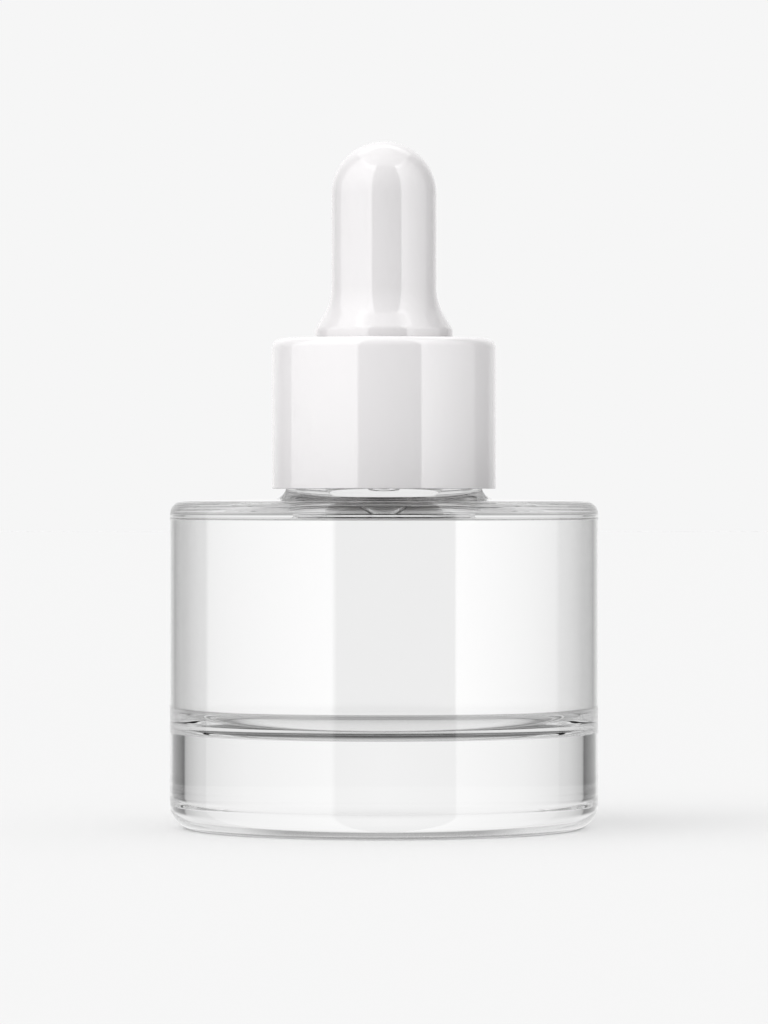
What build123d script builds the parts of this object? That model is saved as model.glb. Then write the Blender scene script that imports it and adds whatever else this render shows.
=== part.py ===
from build123d import *
import os

# A screw-on dropper bottle of clear glass with a white bulb and collar.
# Sizes are in millimetres. The bottle stands on Z 0 and its axis is the Z axis.

# Glass body
body_radius = 23.0
shoulder_height = 35.08
shoulder_rise = 0.22
shoulder_corner = 1.45
heel_round = 2.6
foot_ring_width = 1.2
push_up_depth = 0.8
base_thickness = 10.15
chamber_wall = 0.6
shoulder_thickness = 1.75
floor_round = 2.95

# Glass neck
neck_bore = 6.5
neck_wall = 2.25
neck_height = 12.8
thread_depth = 1.1
neck_foot_fillet = 1.75
neck_foot_lap = 0.9
mouth_bevel = 0.35

# Wiper plug in the neck
wiper_length = 8.0
wiper_wall = 0.9
wiper_flange_width = 1.7
wiper_flange_thickness = 0.6
wiper_lip_height = 2.2
wiper_lip_thickness = 0.5
wiper_ring_height = 0.9
wiper_ring_count = 3
wiper_ring_pitch = 1.9

# Glass pipette
tube_radius = 3.5
tube_bore = 2.6
tube_rim_width = 0.4
tube_rim_height = 0.7
tip_radius = 1.5
tip_bore = 0.7
tip_taper = 6.0
tube_shoulder_round = 3.0
tip_above_chamber = 0.5

# Rubber bulb
bulb_radius = 5.64
bulb_height = 21.2
bulb_seat_radius = 7.4
bulb_seat_height = 1.0
bulb_seat_round = 0.7
bulb_flare_height = 2.86
bulb_flare_round = 5.8
bulb_flange_inset = 0.75
bulb_flange_thickness = 1.1
bulb_crown_wall = 1.3
socket_ledge_height = 0.9

# Sealing washer
washer_thickness = 0.6

# Threaded insert and outer shell of the closure
cap_wall = 0.85
cap_web = 1.1
cap_edge_bevel = 0.25
shell_wall = 0.8
shell_web = 1.0
shell_edge_round = 1.0
shell_hole_bevel = 0.2
collar_gap = 1.1
rib_count = 18
rib_width = 1.5
rib_depth = 0.3
rib_lead_in = 0.8
retaining_bead_height = 0.4
retaining_bead_rise = 0.15
retaining_bead_grip = 0.08

# Clearances
plug_clearance = 0.15
press_clearance = 0.02
thread_clearance = 0.2
rib_clearance = 0.04
neck_clearance = 0.42
tube_clearance = 0.05
wiper_clearance = 0.25
cavity_clearance = 0.35
web_clearance = 0.15
skirt_clearance = 0.3

# Heights of the bottle and of the stack on its mouth
shoulder_top = shoulder_height + shoulder_rise
chamber_ceiling = shoulder_height - shoulder_thickness
mouth_height = shoulder_top + neck_height
washer_bottom = mouth_height + wiper_flange_thickness
flange_bottom = washer_bottom + washer_thickness
flange_top = flange_bottom + bulb_flange_thickness
cap_top = flange_top + cap_web
collar_top = cap_top + shell_web
collar_bottom = shoulder_top + collar_gap
neck_foot_top = collar_bottom + neck_foot_lap
cap_bottom = neck_foot_top + skirt_clearance

# Radii, from the neck's bore outwards
neck_root = neck_bore + neck_wall
thread_radius = neck_root + thread_depth
cap_bore = thread_radius + thread_clearance
cap_radius = cap_bore + cap_wall
cap_rib_radius = cap_radius + rib_depth
shell_bore = cap_rib_radius + rib_clearance
shell_rib_radius = cap_radius + rib_clearance
collar_radius = shell_bore + shell_wall
retaining_bead_radius = cap_radius - retaining_bead_grip
neck_foot_radius = retaining_bead_radius - neck_clearance
web_hole = bulb_seat_radius + web_clearance
flange_radius = cap_bore - bulb_flange_inset
chamber_radius = body_radius - chamber_wall


def turned(outline):
    """Turn a closed outline of (radius, height, corner round) points about the Z axis."""
    corners = [(radius, height) for radius, height, corner in outline]
    rounds = [corner for radius, height, corner in outline]
    with BuildPart() as solid:
        with BuildSketch(Plane.XZ):
            with BuildLine():
                FilletPolyline(*corners, radius=rounds, close=True)
            make_face()
        revolve(axis=Axis.Z)
    return solid.part


def rib_ring(inner, outer, bottom, top, first_angle):
    """Ring of equal upright ribs, cut from the tube between two radii."""
    with BuildPart() as ribs:
        with BuildSketch(Plane.XY.offset(bottom)):
            with PolarLocations((inner + outer) / 2, rib_count, start_angle=first_angle):
                Rectangle(2 * (outer - inner), rib_width)
            Circle(outer, mode=Mode.INTERSECT)
            Circle(inner, mode=Mode.SUBTRACT)
        extrude(amount=top - bottom)
    return ribs.part


def make_glass_bottle():
    """Bottle in one piece: heavy base, thin chamber wall, flat shoulder and open neck."""
    foot_radius = body_radius - heel_round
    foot_inner = foot_radius - foot_ring_width
    glass = turned([
        (0, 0, 0),
        (body_radius, 0, heel_round),
        (body_radius, shoulder_height, shoulder_corner),
        (neck_foot_radius, shoulder_top, neck_foot_fillet),
        (neck_foot_radius, neck_foot_top, 0),
        (neck_root, neck_foot_top, 0),
        (neck_root, mouth_height - mouth_bevel, 0),
        (neck_root - mouth_bevel, mouth_height, 0),
        (neck_bore + mouth_bevel, mouth_height, 0),
        (neck_bore, mouth_height - mouth_bevel, 0),
        (neck_bore, chamber_ceiling, 0),
        (chamber_radius, chamber_ceiling, 0),
        (chamber_radius, base_thickness, floor_round),
        (0, base_thickness, 0),
    ])
    # The hollow under the base is a shallow cap of a large ball
    ball_radius = (foot_inner**2 + push_up_depth**2) / (2 * push_up_depth)
    push_up = Pos(0, 0, push_up_depth - ball_radius) * Sphere(ball_radius)
    return glass - push_up


def make_neck_wiper():
    """Plug with a flange on the mouth, sealing rings in the bore and a cone-shaped lip round the tube."""
    plug_radius = neck_bore - plug_clearance
    plug_bore = plug_radius - wiper_wall
    plug_bottom = mouth_height - wiper_length
    lip_hole = tube_radius + wiper_clearance
    wiper = turned([
        (lip_hole, plug_bottom, 0),
        (lip_hole + wiper_lip_thickness, plug_bottom, 0),
        (plug_radius, plug_bottom + wiper_lip_height, 0),
        (plug_radius, mouth_height, 0),
        (neck_bore + wiper_flange_width, mouth_height, 0),
        (neck_bore + wiper_flange_width, washer_bottom, 0),
        (plug_bore, washer_bottom, 0),
        (plug_bore, plug_bottom + wiper_lip_height + wiper_lip_thickness, 0),
        (lip_hole, plug_bottom + wiper_lip_thickness, 0),
    ])
    ring_radius = neck_bore - press_clearance
    for index in range(wiper_ring_count):
        ring_middle = mouth_height - wiper_ring_pitch * (index + 0.5) - wiper_ring_height / 2
        wiper += turned([
            (plug_radius - wiper_wall / 2, ring_middle - wiper_ring_height / 2, 0),
            (plug_radius, ring_middle - wiper_ring_height / 2, 0),
            (ring_radius, ring_middle, 0),
            (plug_radius, ring_middle + wiper_ring_height / 2, 0),
            (plug_radius - wiper_wall / 2, ring_middle + wiper_ring_height / 2, 0),
        ])
    return wiper


def make_glass_pipette():
    """Short straight tube with a drawn tip below and a rim that catches in the bulb's socket."""
    tip_bottom = chamber_ceiling + tip_above_chamber
    taper_top = tip_bottom + tip_taper
    rim_bottom = collar_top + socket_ledge_height
    rim_top = rim_bottom + tube_rim_height
    rim_radius = tube_radius + tube_rim_width
    return turned([
        (tip_bore, tip_bottom, 0),
        (tip_radius, tip_bottom, 0),
        (tube_radius, taper_top, tube_shoulder_round),
        (tube_radius, rim_bottom, 0),
        (rim_radius, rim_bottom + tube_rim_width / 2, 0),
        (rim_radius, rim_top, 0),
        (tube_bore, rim_top, 0),
        (tube_bore, taper_top, tube_shoulder_round),
    ])


def make_rubber_bulb():
    """Hollow teat: round crown, straight shaft, flare, seat in the collar's hole and a clamped flange."""
    crown_height = collar_top + bulb_height - bulb_radius
    cavity_radius = tube_radius + tube_rim_width + cavity_clearance
    cavity_crown = collar_top + bulb_height - bulb_crown_wall - cavity_radius
    cavity_bottom = collar_top + socket_ledge_height
    socket_radius = tube_radius + tube_clearance
    flare_bottom = collar_top + bulb_seat_height
    with BuildPart() as bulb:
        with BuildSketch(Plane.XZ):
            with BuildLine():
                CenterArc((0, crown_height), bulb_radius, 0, 90)
                FilletPolyline(
                    (bulb_radius, crown_height),
                    (bulb_radius, flare_bottom + bulb_flare_height),
                    (bulb_seat_radius, flare_bottom),
                    (bulb_seat_radius, flange_top),
                    (flange_radius, flange_top),
                    (flange_radius, flange_bottom),
                    (socket_radius, flange_bottom),
                    (socket_radius, cavity_bottom),
                    (cavity_radius, cavity_bottom),
                    (cavity_radius, cavity_crown),
                    radius=[bulb_flare_round, bulb_seat_round, 0, 0, 0, 0, 0, 0],
                )
                CenterArc((0, cavity_crown), cavity_radius, 0, 90)
                Line((0, cavity_crown + cavity_radius), (0, crown_height + bulb_radius))
            make_face()
        revolve(axis=Axis.Z)
    return bulb.part


def make_sealing_washer():
    """Flat ring round the tube, between the wiper's flange and the bulb's flange."""
    return turned([
        (tube_radius + tube_clearance, washer_bottom, 0),
        (flange_radius, washer_bottom, 0),
        (flange_radius, flange_bottom, 0),
        (tube_radius + tube_clearance, flange_bottom, 0),
    ])


def make_inner_cap():
    """Insert that screws on the neck, with a holed web above and upright ribs outside."""
    cap = turned([
        (cap_bore, cap_bottom + cap_edge_bevel, 0),
        (cap_bore + cap_edge_bevel, cap_bottom, 0),
        (cap_radius - cap_edge_bevel, cap_bottom, 0),
        (cap_radius, cap_bottom + cap_edge_bevel, 0),
        (cap_radius, cap_top - cap_edge_bevel, 0),
        (cap_radius - cap_edge_bevel, cap_top, 0),
        (web_hole, cap_top, 0),
        (web_hole, flange_top, 0),
        (cap_bore, flange_top, 0),
    ])
    ribs = rib_ring(cap_radius - cap_wall / 2, cap_rib_radius, cap_bottom + rib_lead_in, cap_top - rib_lead_in, 0)
    return cap + ribs


def make_collar_shell():
    """Smooth outer shell with ribs inside that stand between the insert's ribs, and a retaining bead below."""
    bead_top = cap_bottom - press_clearance
    bead_bottom = bead_top - retaining_bead_height
    shell = turned([
        (shell_bore, collar_bottom, 0),
        (collar_radius, collar_bottom, 0),
        (collar_radius, collar_top, shell_edge_round),
        (web_hole + shell_hole_bevel, collar_top, 0),
        (web_hole, collar_top - shell_hole_bevel, 0),
        (web_hole, cap_top, 0),
        (shell_bore, cap_top, 0),
    ])
    shell += turned([
        (shell_bore + shell_wall / 2, bead_bottom, 0),
        (shell_bore, bead_bottom, 0),
        (retaining_bead_radius, bead_bottom + retaining_bead_rise, 0),
        (retaining_bead_radius, bead_top, 0),
        (shell_bore + shell_wall / 2, bead_top, 0),
    ])
    half_pitch = 180 / rib_count
    ribs = rib_ring(shell_rib_radius, shell_bore + shell_wall / 2, cap_bottom + rib_lead_in, cap_top, half_pitch)
    return shell + ribs


pieces = {
    "glass_bottle": make_glass_bottle(),
    "neck_wiper": make_neck_wiper(),
    "glass_pipette": make_glass_pipette(),
    "rubber_bulb": make_rubber_bulb(),
    "sealing_washer": make_sealing_washer(),
    "inner_cap": make_inner_cap(),
    "collar_shell": make_collar_shell(),
}

os.makedirs("parts", exist_ok=True)
for name, piece in pieces.items():
    export_step(piece, f"parts/{name}.step")
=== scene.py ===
import math
import bpy
import numpy as np
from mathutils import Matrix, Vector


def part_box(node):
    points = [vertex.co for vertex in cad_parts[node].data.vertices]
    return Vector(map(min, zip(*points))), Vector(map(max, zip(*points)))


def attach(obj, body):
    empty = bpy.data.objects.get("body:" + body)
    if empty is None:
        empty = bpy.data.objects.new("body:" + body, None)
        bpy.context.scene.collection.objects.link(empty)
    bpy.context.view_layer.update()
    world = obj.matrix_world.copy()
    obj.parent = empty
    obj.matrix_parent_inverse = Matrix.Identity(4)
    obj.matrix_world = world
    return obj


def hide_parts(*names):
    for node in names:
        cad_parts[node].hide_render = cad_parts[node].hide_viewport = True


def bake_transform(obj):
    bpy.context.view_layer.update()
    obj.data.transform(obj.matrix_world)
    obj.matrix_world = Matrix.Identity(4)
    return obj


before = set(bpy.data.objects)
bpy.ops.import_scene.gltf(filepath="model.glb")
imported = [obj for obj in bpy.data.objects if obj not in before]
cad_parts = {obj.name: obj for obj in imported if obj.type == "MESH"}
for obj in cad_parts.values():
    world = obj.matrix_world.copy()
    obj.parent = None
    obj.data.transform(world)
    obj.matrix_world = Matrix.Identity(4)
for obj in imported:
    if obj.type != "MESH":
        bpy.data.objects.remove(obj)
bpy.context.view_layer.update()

MM = 0.001

# Sizes read from the frame
glass_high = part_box("glass_bottle")[1]
wiper_low, wiper_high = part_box("neck_wiper")
tube_low, tube_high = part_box("glass_pipette")
bulb_low, bulb_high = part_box("rubber_bulb")
washer_low, washer_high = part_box("sealing_washer")
insert_low, insert_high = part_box("inner_cap")
collar_low, collar_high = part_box("collar_shell")

# Glass bottle
body_radius = glass_high.x
mouth_height = glass_high.z
shoulder_height = 35.08 * MM
shoulder_top = 35.3 * MM
shoulder_corner = 1.45 * MM
heel_round = 2.6 * MM
foot_ring_width = 1.2 * MM
push_up_depth = 0.8 * MM
base_thickness = 10.15 * MM
chamber_radius = body_radius - 0.6 * MM
chamber_ceiling = 33.33 * MM
floor_round = 2.95 * MM
ceiling_round = 0.15 * MM
neck_bore = 6.5 * MM
neck_root = 8.75 * MM
neck_foot_radius = 10.4 * MM
neck_foot_top = 37.3 * MM
neck_foot_fillet = 1.75 * MM
neck_foot_round = 0.2 * MM
mouth_round = 0.4 * MM

# Screw thread
thread_pitch = 3.175 * MM
thread_turns = 1.5
thread_crest_share = 0.35
thread_fade = 0.09
neck_thread_rise = 3.4 * MM
insert_thread_rise = 1.2 * MM
neck_thread_depth = 0.68 * MM
insert_thread_depth = 0.5 * MM
thread_half_width = 0.95 * MM

# Wiper, tube, bulb and washer
wiper_plug_radius = neck_bore - 0.15 * MM
wiper_bore = wiper_plug_radius - 0.9 * MM
wiper_lip_hole = 3.75 * MM
wiper_lip_height = 2.2 * MM
wiper_lip_thickness = 0.5 * MM
sealing_rings = 3
ring_spacing = 1.9 * MM
ring_half_height = 0.45 * MM
ring_gap = 0.02 * MM
tube_radius = 3.5 * MM
tube_bore = 2.6 * MM
tip_radius = 1.5 * MM
tip_bore = 0.7 * MM
tip_taper = 6.0 * MM
tube_rim_height = 0.7 * MM
tube_rim_slope = 0.2 * MM
bulb_radius = 5.64 * MM
bulb_seat_radius = 7.4 * MM
bulb_crown_wall = 1.3 * MM
bulb_flange_thickness = 1.1 * MM
bulb_flare_rise = 1.0 * MM
bulb_flare_height = 2.86 * MM
bulb_flare_round = 5.8 * MM
bulb_seat_round = 0.7 * MM
bulb_cavity_rise = 0.9 * MM
bulb_cavity_radius = 4.25 * MM
socket_radius = 3.55 * MM

# Insert and collar
insert_bore = 10.05 * MM
insert_radius = 10.9 * MM
insert_web = 1.1 * MM
shell_bore = collar_high.x - 0.8 * MM
shell_web = 1.0 * MM
shell_corner = 1.0 * MM
bead_radius = 10.82 * MM
bead_height = 0.4 * MM
bead_slope = 0.15 * MM
bead_gap = 0.02 * MM
web_hole = 7.55 * MM
rib_count = 18
rib_share = 0.4
rib_depth = 0.3 * MM
rib_flank_share = 0.02
rib_bare_end = 0.7 * MM
rib_full_from = 1.0 * MM

# Edge rounds
fine_round = 0.1 * MM
rim_round = 0.15 * MM
edge_round = 0.2 * MM
insert_round = 0.25 * MM
soft_round = 0.3 * MM
washer_bore_round = 0.08 * MM
washer_round = 0.12 * MM

# Grid density
sectors = 256
ribbed_sectors = 288
bulb_sectors = 192
plain_sectors = 128
hollow_steps = 24
crown_steps = 40
arc_step = 0.13 * MM
fewest_arc_steps = 6
most_arc_steps = 20
plain_step = 4 * MM
thread_step = 0.14 * MM
end_guard = 0.1 * MM
smallest_round = 0.06 * MM
axis_radius = 1e-9
surface_tolerance = 0.01 * MM


def rounded(corners, closed):
    """Profile through corner points (radius, height, round, longest step).

    Each corner is replaced by the arc tangent to its two runs: with a the angle between the runs, the arc
    starts round / tan(a / 2) from the corner and its centre lies round / sin(a / 2) along the bisector.
    A round below smallest_round, also 0, is made that large. Straight runs get points close to both ends,
    which keeps their shading straight.
    """
    plan = np.array([corner[:2] for corner in corners], float)
    count = len(plan)
    arcs = [plan[i:i + 1] for i in range(count)]
    for i in range(count):
        if not closed and i in (0, count - 1):
            continue
        point, before, after = plan[i], plan[i - 1], plan[(i + 1) % count]
        back = (before - point) / np.linalg.norm(before - point)
        ahead = (after - point) / np.linalg.norm(after - point)
        half = math.acos(np.clip(back @ ahead, -1, 1)) / 2
        radius = max(corners[i][2], smallest_round)
        centre = point + (back + ahead) / np.linalg.norm(back + ahead) * radius / math.sin(half)
        first = point + back * radius / math.tan(half) - centre
        last = point + ahead * radius / math.tan(half) - centre
        turn = math.atan2(first[0] * last[1] - first[1] * last[0], first @ last)
        steps = int(np.clip(radius * abs(turn) / arc_step, fewest_arc_steps, most_arc_steps))
        swing = np.linspace(0, turn, steps + 1)
        arcs[i] = centre + np.stack([
            first[0] * np.cos(swing) - first[1] * np.sin(swing),
            first[0] * np.sin(swing) + first[1] * np.cos(swing),
        ], axis=1)
    pieces = []
    for i in range(count):
        pieces.append(arcs[i])
        if not closed and i == count - 1:
            break
        run_start, run_end = arcs[i][-1], arcs[(i + 1) % count][0]
        length = np.linalg.norm(run_end - run_start)
        if length < 4 * smallest_round:
            continue
        longest = corners[i][3] if len(corners[i]) > 3 else plain_step
        guard = min(end_guard, length / 4)
        inner = np.linspace(guard, length - guard, max(2, int(math.ceil(length / longest)) + 1))
        pieces.append(run_start + (run_end - run_start) * (inner / length)[:, None])
    return np.concatenate(pieces)


def finish_mesh(name, points, quads, fans, body, slot, material, nodes):
    """Makes a smooth mesh object from grid arrays and puts it on its body in place of its nodes."""
    mesh = bpy.data.meshes.new(name)
    mesh.from_pydata(points.tolist(), [], quads.tolist() + fans.tolist())
    mesh.polygons.foreach_set("use_smooth", np.ones(len(mesh.polygons), bool))
    mesh.update()
    mesh.materials.append(material)
    obj = bpy.data.objects.new(name, mesh)
    bpy.context.scene.collection.objects.link(obj)
    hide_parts(*nodes)
    if body:
        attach(obj, body)
    return obj


def turned(profile, around, relief=None):
    """Surface of revolution: profile point (r, z) at angle a is (r cos a, r sin a, z).

    relief gives a change of radius for arrays of angle, radius and height. A profile that starts and ends
    on the axis is closed by a fan of triangles at each pole, and any other profile is a closed ring.
    """
    on_axis = profile[0, 0] < axis_radius
    rows = profile[1:-1] if on_axis else profile
    angle = np.linspace(0, 2 * math.pi, around, endpoint=False)[None, :]
    radius = np.repeat(rows[:, :1], around, axis=1)
    height = np.repeat(rows[:, 1:], around, axis=1)
    if relief is not None:
        radius = radius + relief(angle, radius, height)
    points = np.stack([radius * np.cos(angle), radius * np.sin(angle), height], axis=-1).reshape(-1, 3)
    row = np.arange(len(rows) - 1 if on_axis else len(rows))[:, None]
    column = np.arange(around)[None, :]
    here, beside = row * around + column, row * around + (column + 1) % around
    above, above_beside = [(index + around) % (len(rows) * around) for index in (here, beside)]
    quads = np.stack([here, beside, above_beside, above], axis=-1).reshape(-1, 4)
    fans = np.zeros((0, 3), int)
    if on_axis:
        column = column[0]
        bottom_pole, top_pole = len(points), len(points) + 1
        last_row = (len(rows) - 1) * around
        next_column = (column + 1) % around
        points = np.concatenate([points, [[0, 0, profile[0, 1]], [0, 0, profile[-1, 1]]]])
        fans = np.concatenate([
            np.stack([np.full(around, bottom_pole), next_column, column], axis=1),
            np.stack([np.full(around, top_pole), last_row + column, last_row + next_column], axis=1),
        ])
    return points, quads, fans


def smooth_step(low, high, value):
    """0 below low, 1 above high and 3t^2 - 2t^3 between."""
    t = np.clip((value - low) / (high - low), 0, 1)
    return t * t * (3 - 2 * t)


def helix_ridge(angle, height, first_height, turns, depth):
    """Ridge of a right-hand thread, for arrays of angle and height.

    Its middle stands at first_height + pitch * (angle / full turn + whole turns). It is depth high, falls
    off by a smooth step on both flanks, and fades in and out over thread_fade of a turn at its ends.
    """
    ridge = np.zeros(np.broadcast(angle, height).shape)
    for turn in range(int(math.ceil(turns))):
        climbed = angle / (2 * math.pi) + turn
        off_centre = np.abs(height - first_height - thread_pitch * climbed) / thread_half_width
        flank = 1 - smooth_step(thread_crest_share, 1.0, off_centre)
        fade_in = smooth_step(0, thread_fade, climbed)
        fade_out = 1 - smooth_step(turns - thread_fade, turns, climbed)
        ridge = np.maximum(ridge, depth * flank * (fade_in * fade_out))
    return ridge


# Node helpers
def new_material(name):
    """Empty node material with its Principled shader and output."""
    material = bpy.data.materials.new(name)
    material.use_nodes = True
    return material, material.node_tree, material.node_tree.nodes["Principled BSDF"]


def math_node(tree, operation, *values):
    """Math node on numbers or sockets, returning its output."""
    node = tree.nodes.new("ShaderNodeMath")
    node.operation = operation
    for i, value in enumerate(values):
        if isinstance(value, (int, float)):
            node.inputs[i].default_value = value
        else:
            tree.links.new(value, node.inputs[i])
    return node.outputs[0]


def ramp_node(tree, value, stops):
    """Grey colour ramp through (place, grey) stops."""
    node = tree.nodes.new("ShaderNodeValToRGB")
    ramp = node.color_ramp
    while len(ramp.elements) < len(stops):
        ramp.elements.new(0.5)
    for element, (place, grey) in zip(ramp.elements, stops):
        element.position = place
        element.color = (grey, grey, grey, 1)
    tree.links.new(value, node.inputs[0])
    return node.outputs[0]


def noise_node(tree, scale, detail):
    """Noise on object coordinates."""
    place = tree.nodes.new("ShaderNodeTexCoord")
    noise = tree.nodes.new("ShaderNodeTexNoise")
    noise.inputs["Scale"].default_value = scale
    noise.inputs["Detail"].default_value = detail
    tree.links.new(place.outputs["Object"], noise.inputs["Vector"])
    return noise.outputs["Fac"]


def bump_node(tree, height, strength, distance):
    """Bump from a height socket, returning its normal."""
    bump = tree.nodes.new("ShaderNodeBump")
    bump.inputs["Strength"].default_value = strength
    bump.inputs["Distance"].default_value = distance
    tree.links.new(height, bump.inputs["Height"])
    return bump.outputs["Normal"]


def choose(tree, switch, off, on):
    """off where the switch is 0 and on where it is 1."""
    mix = tree.nodes.new("ShaderNodeMix")
    tree.links.new(switch, mix.inputs[0])
    for value, socket in ((off, mix.inputs[2]), (on, mix.inputs[3])):
        if isinstance(value, float):
            socket.default_value = value
        else:
            tree.links.new(value, socket)
    return mix.outputs[0]


def let_rays_past(tree, shader, picked, shade):
    """Rays for which picked is 1 go straight through the surface, dimmed to the grey shade."""
    past = tree.nodes.new("ShaderNodeBsdfTransparent")
    past.inputs["Color"].default_value = (shade, shade, shade, 1)
    mix = tree.nodes.new("ShaderNodeMixShader")
    tree.links.new(picked, mix.inputs[0])
    tree.links.new(shader.outputs[0], mix.inputs[1])
    tree.links.new(past.outputs[0], mix.inputs[2])
    tree.links.new(mix.outputs[0], tree.nodes["Material Output"].inputs["Surface"])


# Materials
glass_ior = 1.5
glass_shadow = 0.97
# Painted contact shadow at the bottle's foot: the glass tint is nearly black in its lowest fraction of a
# millimetre.
foot_span = 2.0 * MM
foot_shadow_top = 0.18 * MM
foot_clear_from = 0.4 * MM
foot_shadow_tone = 0.05
plastic_ior = 1.8
skin_depth = 0.02 * MM
gloss_detail = 3
wave_detail = 2
noise_low = 0.3
noise_high = 0.7
fitting_grain = 900
fitting_detail = 4
fitting_waviness = 0.15


def clear_glass(name):
    """Colourless glass that lets lamps through, a little shaded, instead of casting a solid shadow."""
    material, tree, shader = new_material(name)
    shader.inputs["Base Color"].default_value = (1, 1, 1, 1)
    shader.inputs["Roughness"].default_value = 0.0
    shader.inputs["IOR"].default_value = glass_ior
    shader.inputs["Transmission Weight"].default_value = 1.0
    path = tree.nodes.new("ShaderNodeLightPath")
    let_rays_past(tree, shader, path.outputs["Is Shadow Ray"], glass_shadow)
    return material


def paint_foot_shadow(material):
    """Painted contact shadow along the foot: the glass tint is dark up to the shadow's top height and rises
    evenly to clear at foot_clear_from.
    """
    tree = material.node_tree
    place = tree.nodes.new("ShaderNodeTexCoord")
    spot = tree.nodes.new("ShaderNodeSeparateXYZ")
    tree.links.new(place.outputs["Object"], spot.inputs[0])
    height = math_node(tree, "DIVIDE", spot.outputs[2], foot_span)
    shadow_end, clear_start = foot_shadow_top / foot_span, foot_clear_from / foot_span
    tint = ramp_node(tree, height, [
        (0.0, foot_shadow_tone), (shadow_end, foot_shadow_tone), (clear_start, 1.0), (1.0, 1.0),
    ])
    tree.links.new(tint, tree.nodes["Principled BSDF"].inputs["Base Color"])


def glossy_white(name, colour, smoothest, dullest, gloss_grain, wave_grain, waviness):
    """Glossy moulded white: faint long waves in the skin and a roughness that wanders a little."""
    material, tree, shader = new_material(name)
    shader.inputs["Base Color"].default_value = (*colour, 1)
    shader.inputs["IOR"].default_value = plastic_ior
    uneven = noise_node(tree, gloss_grain, gloss_detail)
    roughness = ramp_node(tree, uneven, [(noise_low, smoothest), (noise_high, dullest)])
    tree.links.new(roughness, shader.inputs["Roughness"])
    waves = noise_node(tree, wave_grain, wave_detail)
    tree.links.new(bump_node(tree, waves, waviness, skin_depth), shader.inputs["Normal"])
    return material


def soft_plastic(name, colour, roughness):
    """Satin polyethylene or polypropylene of a hidden fitting."""
    material, tree, shader = new_material(name)
    shader.inputs["Base Color"].default_value = (*colour, 1)
    shader.inputs["Roughness"].default_value = roughness
    grain = noise_node(tree, fitting_grain, fitting_detail)
    tree.links.new(bump_node(tree, grain, fitting_waviness, skin_depth), shader.inputs["Normal"])
    return material


bottle_glass = clear_glass("bottle_glass")
# The bottle glass gets a painted contact shadow along its foot.
paint_foot_shadow(bottle_glass)
tube_glass = clear_glass("tube_glass")
collar_white = glossy_white(
    "collar_white", (0.90, 0.882, 0.89),
    smoothest=0.0425, dullest=0.0575, gloss_grain=300, wave_grain=120, waviness=0.1,
)
bulb_white = glossy_white(
    "bulb_white", (0.83, 0.813, 0.82),
    smoothest=0.05, dullest=0.08, gloss_grain=400, wave_grain=160, waviness=0.1,
)
insert_white = soft_plastic("insert_white", (0.88, 0.85, 0.85), 0.35)
wiper_white = soft_plastic("wiper_white", (0.87, 0.84, 0.84), 0.3)
washer_white = soft_plastic("washer_white", (0.80, 0.79, 0.78), 0.5)


# Pieces
def make_bottle():
    """Glass body: turned outline with the neck's thread raised on it."""
    foot_radius = body_radius - heel_round
    foot_inner = foot_radius - foot_ring_width
    ball_radius = (foot_inner**2 + push_up_depth**2) / (2 * push_up_depth)
    hollow_angle = np.linspace(0, math.asin(foot_inner / ball_radius), hollow_steps)
    hollow = np.stack([
        ball_radius * np.sin(hollow_angle),
        push_up_depth - ball_radius * (1 - np.cos(hollow_angle)),
    ], axis=1)
    body = rounded([
        (foot_inner, 0, 0),
        (body_radius, 0, heel_round, 1 * MM),
        (body_radius, shoulder_height, shoulder_corner),
        (neck_foot_radius, shoulder_top, neck_foot_fillet),
        (neck_foot_radius, neck_foot_top, neck_foot_round),
        (neck_root, neck_foot_top, neck_foot_round, thread_step),
        (neck_root, mouth_height, mouth_round),
        (neck_bore, mouth_height, mouth_round),
        (neck_bore, chamber_ceiling, ceiling_round),
        (chamber_radius, chamber_ceiling, ceiling_round),
        (chamber_radius, base_thickness, floor_round, 3 * MM),
        (0, base_thickness, 0),
    ], closed=False)
    profile = np.concatenate([hollow[:-1], body])
    profile[0, 0] = profile[-1, 0] = 0
    thread_start = neck_foot_top + neck_thread_rise

    def thread(angle, radius, height):
        on_neck = (np.abs(radius - neck_root) < surface_tolerance) & (height > neck_foot_top)
        ridge = helix_ridge(angle, height, thread_start, thread_turns, neck_thread_depth)
        return np.where(on_neck, ridge, 0)

    grid = turned(profile, sectors, thread)
    finish_mesh("bottle_glass", *grid, "bottle", "clear_glass", bottle_glass, ["glass_bottle"])


def make_wiper():
    """Plug with three sealing rings, a flange and a cone-shaped lip."""
    bottom, top = wiper_low.z, wiper_high.z
    flange_radius = wiper_high.x
    corners = [
        (wiper_lip_hole, bottom, fine_round),
        (wiper_lip_hole + wiper_lip_thickness, bottom, fine_round),
        (wiper_plug_radius, bottom + wiper_lip_height, soft_round),
    ]
    for index in reversed(range(sealing_rings)):
        middle = mouth_height - ring_spacing * (index + 0.5) - ring_half_height
        corners += [
            (wiper_plug_radius, middle - ring_half_height, 0),
            (neck_bore - ring_gap, middle, fine_round),
            (wiper_plug_radius, middle + ring_half_height, 0),
        ]
    corners += [
        (wiper_plug_radius, mouth_height, 0),
        (flange_radius, mouth_height, fine_round),
        (flange_radius, top, rim_round),
        (wiper_bore, top, rim_round),
        (wiper_bore, bottom + wiper_lip_height + wiper_lip_thickness, soft_round),
        (wiper_lip_hole, bottom + wiper_lip_thickness, fine_round),
    ]
    grid = turned(rounded(corners, closed=True), plain_sectors)
    finish_mesh("wiper_plug", *grid, "bottle", "wiper_plastic", wiper_white, ["neck_wiper"])


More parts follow.
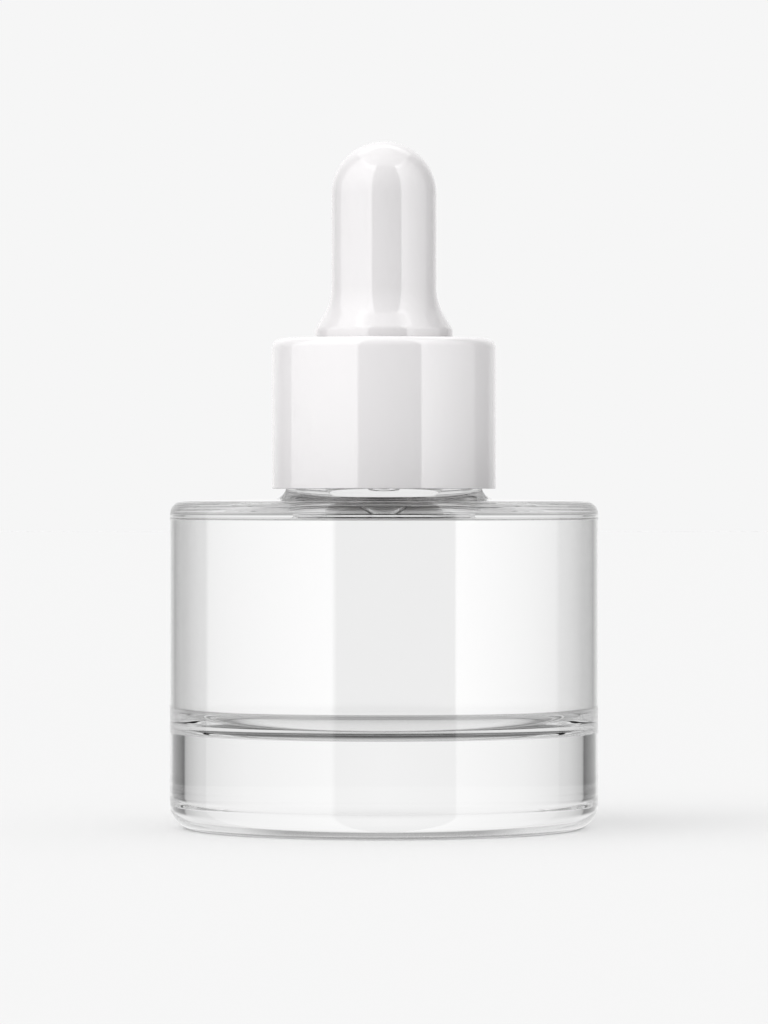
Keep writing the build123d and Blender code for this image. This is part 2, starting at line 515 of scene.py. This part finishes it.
def make_tube():
    """Glass tube with a drawn tip and a rim that catches in the bulb's socket."""
    tip, top = tube_low.z, tube_high.z
    rim_radius, rim_bottom = tube_high.x, tube_high.z - tube_rim_height
    grid = turned(rounded([
        (tip_bore, tip, edge_round),
        (tip_radius, tip, soft_round),
        (tube_radius, tip + tip_taper, 3 * MM),
        (tube_radius, rim_bottom, 0),
        (rim_radius, rim_bottom + tube_rim_slope, rim_round),
        (rim_radius, top, edge_round),
        (tube_bore, top, edge_round),
        (tube_bore, tip + tip_taper, 2 * MM),
    ], closed=True), plain_sectors)
    finish_mesh("pipette_tube", *grid, "dropper", "tube_glass", tube_glass, ["glass_pipette"])


def make_bulb():
    """Hollow teat: round crown, straight shaft, flare, seat and clamped flange, with the cavity inside."""
    top, flange_radius = bulb_high.z, bulb_high.x
    flange_bottom, flange_top = bulb_low.z, bulb_low.z + bulb_flange_thickness
    flare_bottom = collar_high.z + bulb_flare_rise
    crown_height = top - bulb_radius
    cavity_crown = top - bulb_crown_wall - bulb_cavity_radius
    cavity_bottom = collar_high.z + bulb_cavity_rise
    quarter = np.linspace(0, math.pi / 2, crown_steps)
    crown = np.stack([
        bulb_radius * np.cos(quarter),
        crown_height + bulb_radius * np.sin(quarter),
    ], axis=1)
    dome = np.stack([
        bulb_cavity_radius * np.cos(quarter),
        cavity_crown + bulb_cavity_radius * np.sin(quarter),
    ], axis=1)
    wall = rounded([
        (bulb_cavity_radius, cavity_crown, 0, 0.8 * MM),
        (bulb_cavity_radius, cavity_bottom, edge_round),
        (socket_radius, cavity_bottom, fine_round),
        (socket_radius, flange_bottom, fine_round),
        (flange_radius, flange_bottom, edge_round),
        (flange_radius, flange_top, edge_round),
        (bulb_seat_radius, flange_top, 0),
        (bulb_seat_radius, flare_bottom, bulb_seat_round),
        (bulb_radius, flare_bottom + bulb_flare_height, bulb_flare_round, 0.5 * MM),
        (bulb_radius, crown_height, 0),
    ], closed=False)
    profile = np.concatenate([dome[::-1], wall[1:-1], crown])
    profile[0, 0] = profile[-1, 0] = 0
    grid = turned(profile, bulb_sectors)
    bulb = finish_mesh("bulb_teat", *grid, None, "bulb_rubber", bulb_white, ["rubber_bulb"])
    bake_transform(bulb)


def make_washer():
    """Flat ring round the tube."""
    low, high, radius = washer_low.z, washer_high.z, washer_high.x
    grid = turned(rounded([
        (socket_radius, low, washer_bore_round),
        (radius, low, washer_round),
        (radius, high, washer_round),
        (socket_radius, high, washer_bore_round),
    ], closed=True), plain_sectors)
    finish_mesh("washer_ring", *grid, "dropper", "washer_foam", washer_white, ["sealing_washer"])


def rib_wave(angle, first_share):
    """1 on a rib and 0 between ribs, with short flanks; ribs stand rib_count to the turn."""
    phase = (angle * rib_count / (2 * math.pi) + first_share) % 1
    off_centre = np.abs(phase - 0.5)
    return 1 - smooth_step(rib_share / 2 - rib_flank_share, rib_share / 2 + rib_flank_share, off_centre)


def make_insert():
    """Threaded insert: upright ribs outside, the mating thread inside and a holed web above."""
    bottom, top = insert_low.z, insert_high.z
    web_bottom = top - insert_web
    profile = rounded([
        (insert_bore, bottom, insert_round),
        (insert_radius, bottom, insert_round, 0.4 * MM),
        (insert_radius, top, insert_round),
        (web_hole, top, 0),
        (web_hole, web_bottom, 0),
        (insert_bore, web_bottom, rim_round, thread_step),
    ], closed=True)
    thread_start = bottom + insert_thread_rise

    def relief(angle, radius, height):
        rib_zone = smooth_step(bottom + rib_bare_end, bottom + rib_full_from, height)
        rib_zone = rib_zone * (1 - smooth_step(top - rib_full_from, top - rib_bare_end, height))
        outside = np.abs(radius - insert_radius) < surface_tolerance
        inside = (np.abs(radius - insert_bore) < surface_tolerance) & (height < web_bottom - soft_round)
        ribs = rib_depth * rib_wave(angle, 0.5) * rib_zone
        thread = helix_ridge(angle, height, thread_start, thread_turns, insert_thread_depth)
        return np.where(outside, ribs, 0) - np.where(inside, thread, 0)

    grid = turned(profile, ribbed_sectors, relief)
    finish_mesh("threaded_insert", *grid, "closure", "insert_plastic", insert_white, ["inner_cap"])


def make_collar():
    """Smooth outer shell with ribs and a retaining bead inside."""
    bottom, top, radius = collar_low.z, collar_high.z, collar_high.x
    web_bottom = top - shell_web
    bead_top = insert_low.z - bead_gap
    bead_bottom = bead_top - bead_height
    profile = rounded([
        (shell_bore, bottom, fine_round),
        (radius, bottom, fine_round),
        (radius, top, shell_corner),
        (web_hole, top, edge_round),
        (web_hole, web_bottom, 0),
        (shell_bore, web_bottom, soft_round, 0.6 * MM),
        (shell_bore, bead_top, 0),
        (bead_radius, bead_top, 0),
        (bead_radius, bead_bottom + bead_slope, 0),
        (shell_bore, bead_bottom, 0),
    ], closed=True)

    def ribs(angle, radius, height):
        inside = np.abs(radius - shell_bore) < surface_tolerance
        rib_zone = smooth_step(insert_low.z + rib_bare_end, insert_low.z + rib_full_from, height)
        return -np.where(inside, rib_depth * rib_wave(angle, 0.0) * rib_zone, 0)

    grid = turned(profile, ribbed_sectors, ribs)
    finish_mesh("collar_cover", *grid, "closure", "collar_plastic", collar_white, ["collar_shell"])


make_bottle()
make_wiper()
make_tube()
make_bulb()
make_washer()
make_insert()
make_collar()


# Floor
background_grey = 0.9216
floor_albedo = 0.79
floor_centre_radius = 0.001
floor_first_ring = 0.02
floor_radius = 4.0
floor_rings = 10
floor_sectors = 64


def make_floor():
    """Wide pale disc under the bottle, made as rings of a polar grid."""
    spread = np.geomspace(floor_first_ring, floor_radius, floor_rings)
    ring = np.concatenate([[floor_centre_radius], spread])
    angle = np.linspace(0, 2 * math.pi, floor_sectors, endpoint=False)
    radius, turn = np.meshgrid(ring, angle, indexing="ij")
    points = np.stack([radius * np.cos(turn), radius * np.sin(turn), radius * 0], axis=-1).reshape(-1, 3)
    row, column = np.arange(len(ring) - 1)[:, None], np.arange(floor_sectors)[None, :]
    here, beside = row * floor_sectors + column, row * floor_sectors + (column + 1) % floor_sectors
    quads = np.stack([here, here + floor_sectors, beside + floor_sectors, beside], axis=-1).reshape(-1, 4)
    mesh = bpy.data.meshes.new("floor")
    mesh.from_pydata(points.tolist(), [], quads.tolist() + [list(range(floor_sectors))])
    material, tree, shader = new_material("floor_paint")
    shader.inputs["Base Color"].default_value = (floor_albedo, floor_albedo, floor_albedo, 1)
    shader.inputs["Roughness"].default_value = 1.0
    shader.inputs["Specular IOR Level"].default_value = 0.0
    # Gloss and glass look past the floor, so that they show the studio's background below the horizon too.
    path = tree.nodes.new("ShaderNodeLightPath")
    glossy, transmitted = path.outputs["Is Glossy Ray"], path.outputs["Is Transmission Ray"]
    let_rays_past(tree, shader, math_node(tree, "MAXIMUM", glossy, transmitted), 1.0)
    mesh.materials.append(material)
    floor = bpy.data.objects.new("floor", mesh)
    bpy.context.scene.collection.objects.link(floor)


make_floor()


# Light, on matt surfaces
key_azimuth = -60
key_elevation = 52
key_power = 10
key_radiance = 2.5
sky_low = 0.39
sky_rise = 0.68

# Light, in outer reflections: (degrees, radiance) round the turn, then the panel overhead
flag_radiance = 0.09
gap_radiance = 0.25
softbox_ring = [
    (-180, 1.0), (-158, 0.95), (-153, 0.8), (-145, 0.66), (-141, 0.56), (-138, 0.38), (-133, 0.16),
    (-130, flag_radiance), (-111, flag_radiance), (-110, 0.9), (-27.2, 2.0), (-26.2, gap_radiance),
    (38.2, gap_radiance), (39.2, 2.1), (107, 0.6), (108, flag_radiance), (130, flag_radiance),
    (133, 0.16), (138, 0.38), (141, 0.56), (145, 0.66), (153, 0.8), (158, 0.95), (180, 1.0),
]
softbox_top = 0.84
softbox_fade_top = 0.88
above_softbox_share = 0.12
panel_offset = 0.19
panel_half_width = 0.65
panel_half_length = 0.72
panel_radiance = 0.7

# Light, seen straight through the glass
backdrop_ring = [
    (-180, 0.94), (-152, 0.88), (-145, 0.84), (-133, 0.75), (-128, 0.66), (-122.6, 0.55),
    (-121.4, 0.12), (-104, 0.10), (-100, 0.7), (-60, 0.9), (60, 0.9), (100, 0.7), (104, 0.10),
    (121.4, 0.12), (122.6, 0.55), (128, 0.66), (133, 0.75), (145, 0.84), (152, 0.88), (180, 0.94),
]
flag_top = 0.12
flag_fade_top = 0.22
above_flags_radiance = 0.9

# Light, in reflections inside the glass
inner_ring = [
    (-180, 0.6), (-172, 0.6), (-169, 0.1), (-111, 0.1), (-110, 0.9), (-27.2, 2.0), (-26.2, gap_radiance),
    (38.2, gap_radiance), (39.2, 2.1), (107, 0.6), (108, 0.1), (169, 0.1), (172, 0.6), (180, 0.6),
]
level_edge = 0.002
rising_radiance = 0.7
over_radiance = 0.8
many_echo_radiance = 0.78
far_echo_radiance = 0.42
under_from = -0.36
under_middle_width = 0.3
under_side_width = 0.5
under_radiance = 0.74
gap_under_radiance = 0.42


def turn_ramp(tree, share, stops):
    """Radiance round the whole turn, from (degrees, radiance) stops."""
    peak = max(radiance for degrees, radiance in stops)
    places = [((degrees + 180) / 360, radiance / peak) for degrees, radiance in stops]
    return math_node(tree, "MULTIPLY", ramp_node(tree, share, places), peak)


def make_world():
    """Studio round the bottle. Azimuth 0 is towards the camera and 90 towards +X.

    d = (x, y, z) is the unit direction that a ray leaves in, and k the direction of the key light.

    Matt light is a sky, sky_low + sky_rise * max(z, 0), with a broad key lobe from the front left,
    key_radiance * max(d . k, 0)^key_power. The camera sees the background grey.

    Outer reflections see two tall softboxes, a white backdrop and dark flags between them, all dimmer high
    up, and a panel overhead where |x / z| and |y / z - panel_offset| are small. Straight views through the
    glass see the backdrop all round, with flags near the horizon only.

    Reflections inside the glass see the inner ring below the horizon, rising_radiance above it, and
    over_radiance where |z| is beyond the flags. Later rules go over earlier ones: many_echo_radiance after
    two reflections or more, far_echo_radiance after three refractions or more, and below under_from
    gap_under_radiance in the middle and under_radiance at the sides.
    """
    world = bpy.data.worlds.new("studio")
    bpy.context.scene.world = world
    world.use_nodes = True
    tree = world.node_tree
    place = tree.nodes.new("ShaderNodeTexCoord")
    parts = tree.nodes.new("ShaderNodeSeparateXYZ")
    tree.links.new(place.outputs["Generated"], parts.inputs[0])
    x, y, z = parts.outputs
    azimuth = math_node(tree, "ARCTAN2", x, math_node(tree, "MULTIPLY", y, -1.0))
    share = math_node(tree, "MULTIPLY_ADD", azimuth, 1 / (2 * math.pi), 0.5)

    boxes = turn_ramp(tree, share, softbox_ring)
    low_part = ramp_node(tree, z, [
        (0.0, 1.0), (softbox_top, 1.0), (softbox_fade_top, above_softbox_share), (1.0, above_softbox_share),
    ])
    across = math_node(tree, "ABSOLUTE", math_node(tree, "DIVIDE", x, z))
    along = math_node(tree, "SUBTRACT", math_node(tree, "DIVIDE", y, z), panel_offset)
    in_width = math_node(tree, "LESS_THAN", across, panel_half_width)
    in_length = math_node(tree, "LESS_THAN", math_node(tree, "ABSOLUTE", along), panel_half_length)
    panel = math_node(tree, "MULTIPLY", in_width, in_length)
    panel = math_node(tree, "MULTIPLY", panel, math_node(tree, "GREATER_THAN", z, 0.0))
    boxes = math_node(tree, "MULTIPLY", boxes, low_part)
    studio = math_node(tree, "MULTIPLY_ADD", panel, panel_radiance, boxes)

    backdrop = turn_ramp(tree, share, backdrop_ring)
    steepness = math_node(tree, "ABSOLUTE", z)
    beyond_flags = ramp_node(tree, steepness, [
        (0.0, 0.0), (flag_top, 0.0), (flag_fade_top, 1.0), (1.0, 1.0),
    ])
    backdrop = choose(tree, beyond_flags, backdrop, above_flags_radiance)

    level = math.cos(math.radians(key_elevation))
    key_direction = (
        level * math.sin(math.radians(key_azimuth)),
        -level * math.cos(math.radians(key_azimuth)),
        math.sin(math.radians(key_elevation)),
    )
    facing = tree.nodes.new("ShaderNodeVectorMath")
    facing.operation = "DOT_PRODUCT"
    facing.inputs[1].default_value = key_direction
    tree.links.new(place.outputs["Generated"], facing.inputs[0])
    towards_key = math_node(tree, "MAXIMUM", facing.outputs["Value"], 0.0)
    lobe = math_node(tree, "POWER", towards_key, key_power)
    upwards = math_node(tree, "MAXIMUM", z, 0.0)
    sky = math_node(tree, "MULTIPLY_ADD", upwards, sky_rise, sky_low)
    matt_light = math_node(tree, "MULTIPLY_ADD", lobe, key_radiance, sky)

    path = tree.nodes.new("ShaderNodeLightPath")
    unreflected = math_node(tree, "LESS_THAN", path.outputs["Glossy Depth"], 0.5)
    straight = math_node(tree, "MULTIPLY", path.outputs["Is Transmission Ray"], unreflected)
    inner_side = turn_ramp(tree, share, inner_ring)
    rising = ramp_node(tree, z, [(0.0, 0.0), (level_edge, 1.0), (1.0, 1.0)])
    inner_side = choose(tree, rising, inner_side, rising_radiance)
    echo = choose(tree, beyond_flags, inner_side, over_radiance)
    many = math_node(tree, "GREATER_THAN", path.outputs["Glossy Depth"], 1.5)
    echo = choose(tree, many, echo, many_echo_radiance)
    far = math_node(tree, "GREATER_THAN", path.outputs["Transmission Depth"], 2.5)
    echo = choose(tree, far, echo, far_echo_radiance)
    sideways = math_node(tree, "ABSOLUTE", x)
    aside = ramp_node(tree, sideways, [
        (0.0, 0.0), (under_middle_width, 0.0), (under_side_width, 1.0), (1.0, 1.0),
    ])
    under = choose(tree, aside, gap_under_radiance, under_radiance)
    echo = choose(tree, math_node(tree, "LESS_THAN", z, under_from), echo, under)
    inside = math_node(tree, "GREATER_THAN", path.outputs["Transmission Depth"], 0.5)
    mirrored = choose(tree, inside, studio, echo)
    radiance = choose(tree, path.outputs["Is Glossy Ray"], matt_light, mirrored)
    radiance = choose(tree, straight, radiance, backdrop)
    radiance = choose(tree, path.outputs["Is Camera Ray"], radiance, background_grey)
    tree.links.new(radiance, tree.nodes["Background"].inputs["Strength"])
    tree.nodes["Background"].inputs["Color"].default_value = (1, 1, 1, 1)


make_world()


def make_camera():
    """Long lens at the photo's height and distance; 1 mm on the axis is 9.31 pixels of the photo."""
    distance = 0.589
    height = 36.5 * MM
    aim_height = 33.9 * MM
    photo_height_on_axis = 110.0 * MM
    data = bpy.data.cameras.new("camera")
    data.lens = data.sensor_width * distance / photo_height_on_axis
    data.clip_start = 0.05
    camera = bpy.data.objects.new("camera", data)
    camera.location = (0, -distance, height)
    camera.rotation_euler = (math.pi / 2 - math.atan2(height - aim_height, distance), 0, 0)
    bpy.context.scene.collection.objects.link(camera)
    bpy.context.scene.camera = camera


make_camera()

scene = bpy.context.scene
scene.view_settings.view_transform = "Standard"
light_bounces = 24
scene.cycles.max_bounces = light_bounces
scene.cycles.glossy_bounces = light_bounces
scene.cycles.transmission_bounces = light_bounces
scene.cycles.transparent_max_bounces = light_bounces
